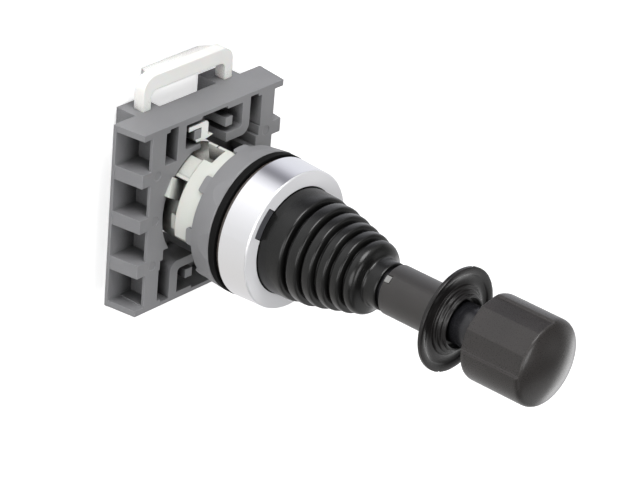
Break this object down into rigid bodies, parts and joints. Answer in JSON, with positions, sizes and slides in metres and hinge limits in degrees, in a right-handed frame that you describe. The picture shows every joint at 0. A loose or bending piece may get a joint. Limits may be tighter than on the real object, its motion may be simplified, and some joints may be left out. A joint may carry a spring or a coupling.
{
  "type": "industrial joystick operator",
  "caption": "Panel-mounted joystick lever with interlock collar, bellows boot, polished bezel and a contact block holder with a locking clip behind the panel.",
  "frame": {"origin": "on the lever axis, in the face of the gasket that seats on the front of the panel", "axes": "+Z along the lever at rest, out of the panel; +Y towards the locking clip; +X completes a right-handed frame"},
  "size_m": [0.0418, 0.0471, 0.1037],
  "materials": {
    "holder": "satin",
    "pale": "satin",
    "ring_grey": "satin",
    "gasket": "matte",
    "bezel": "polished",
    "boot": "satin",
    "black": "satin",
    "steel": "satin",
    "brass": "satin",
    "plunger": "satin"
  },
  "bodies": {
    "base": {"holder_frame": "holder", "index_clip": "pale", "body_bushing": "pale", "clamp_nut": "ring_grey", "seat_gasket": "gasket", "base_ring": "ring_grey", "bezel_ring": "bezel", "boot_clamp": "ring_grey", "gate_plate": "steel", "pivot_pins": "steel", "guide_plate": "pale", "rear_cap": "pale", "cap_ring": "steel", "boot": "boot", "centring_spring": "steel", "plunger_spring_right": "steel", "plunger_spring_top": "steel", "plunger_spring_left": "steel", "plunger_spring_bottom": "steel"},
    "gimbal": {"gimbal_ring": "steel"},
    "lever": {"lever_shaft": "steel", "cross_pin": "steel", "actuator_foot": "steel", "foot_clip": "steel", "guide_tube": "black", "collar_key": "pale", "collar_spring": "steel", "knob_insert": "brass", "knob": "black"},
    "collar": {"collar": "black"},
    "clip": {"locking_clip": "pale"},
    "plunger_right": {"plunger_right": "plunger"},
    "plunger_top": {"plunger_top": "plunger"},
    "plunger_left": {"plunger_left": "plunger"},
    "plunger_bottom": {"plunger_bottom": "plunger"}
  },
  "joints": [
    {"name": "tilt_up_down", "type": "hinge", "parent": "base", "child": "gimbal", "pos_m": [0, 0, 0.0025], "axis": [1, 0, 0], "range_deg": [-15, 15], "stiffness_Nm_per_rad": 0.35, "deforming": ["boot", "centring_spring"]},
    {"name": "tilt_left_right", "type": "hinge", "parent": "gimbal", "child": "lever", "pos_m": [0, 0, 0.0025], "axis": [0, 1, 0], "range_deg": [-15, 15], "stiffness_Nm_per_rad": 0.35},
    {"name": "collar_lift", "type": "slide", "parent": "lever", "child": "collar", "axis": [0, 0, 1], "range_m": [0, 0.005], "stiffness_N_per_m": 200, "springref_m": -0.004, "deforming": ["collar_spring"]},
    {"name": "clip_slide", "type": "slide", "parent": "base", "child": "clip", "axis": [0, 1, 0], "range_m": [0, 0.003]},
    {"name": "right_plunger_slide", "type": "slide", "parent": "base", "child": "plunger_right", "axis": [0, 0, 1], "range_m": [-0.0018, 0.0018], "deforming": ["plunger_spring_right"]},
    {"name": "top_plunger_slide", "type": "slide", "parent": "base", "child": "plunger_top", "axis": [0, 0, 1], "range_m": [-0.0018, 0.0018], "deforming": ["plunger_spring_top"]},
    {"name": "left_plunger_slide", "type": "slide", "parent": "base", "child": "plunger_left", "axis": [0, 0, 1], "range_m": [-0.0018, 0.0018], "deforming": ["plunger_spring_left"]},
    {"name": "bottom_plunger_slide", "type": "slide", "parent": "base", "child": "plunger_bottom", "axis": [0, 0, 1], "range_m": [-0.0018, 0.0018], "deforming": ["plunger_spring_bottom"]}
  ],
  "couplings": [
    {"joint": "right_plunger_slide", "follows": "tilt_left_right", "m_per_rad": -0.0066},
    {"joint": "top_plunger_slide", "follows": "tilt_up_down", "m_per_rad": 0.0066},
    {"joint": "left_plunger_slide", "follows": "tilt_left_right", "m_per_rad": 0.0066},
    {"joint": "bottom_plunger_slide", "follows": "tilt_up_down", "m_per_rad": -0.0066}
  ]
}
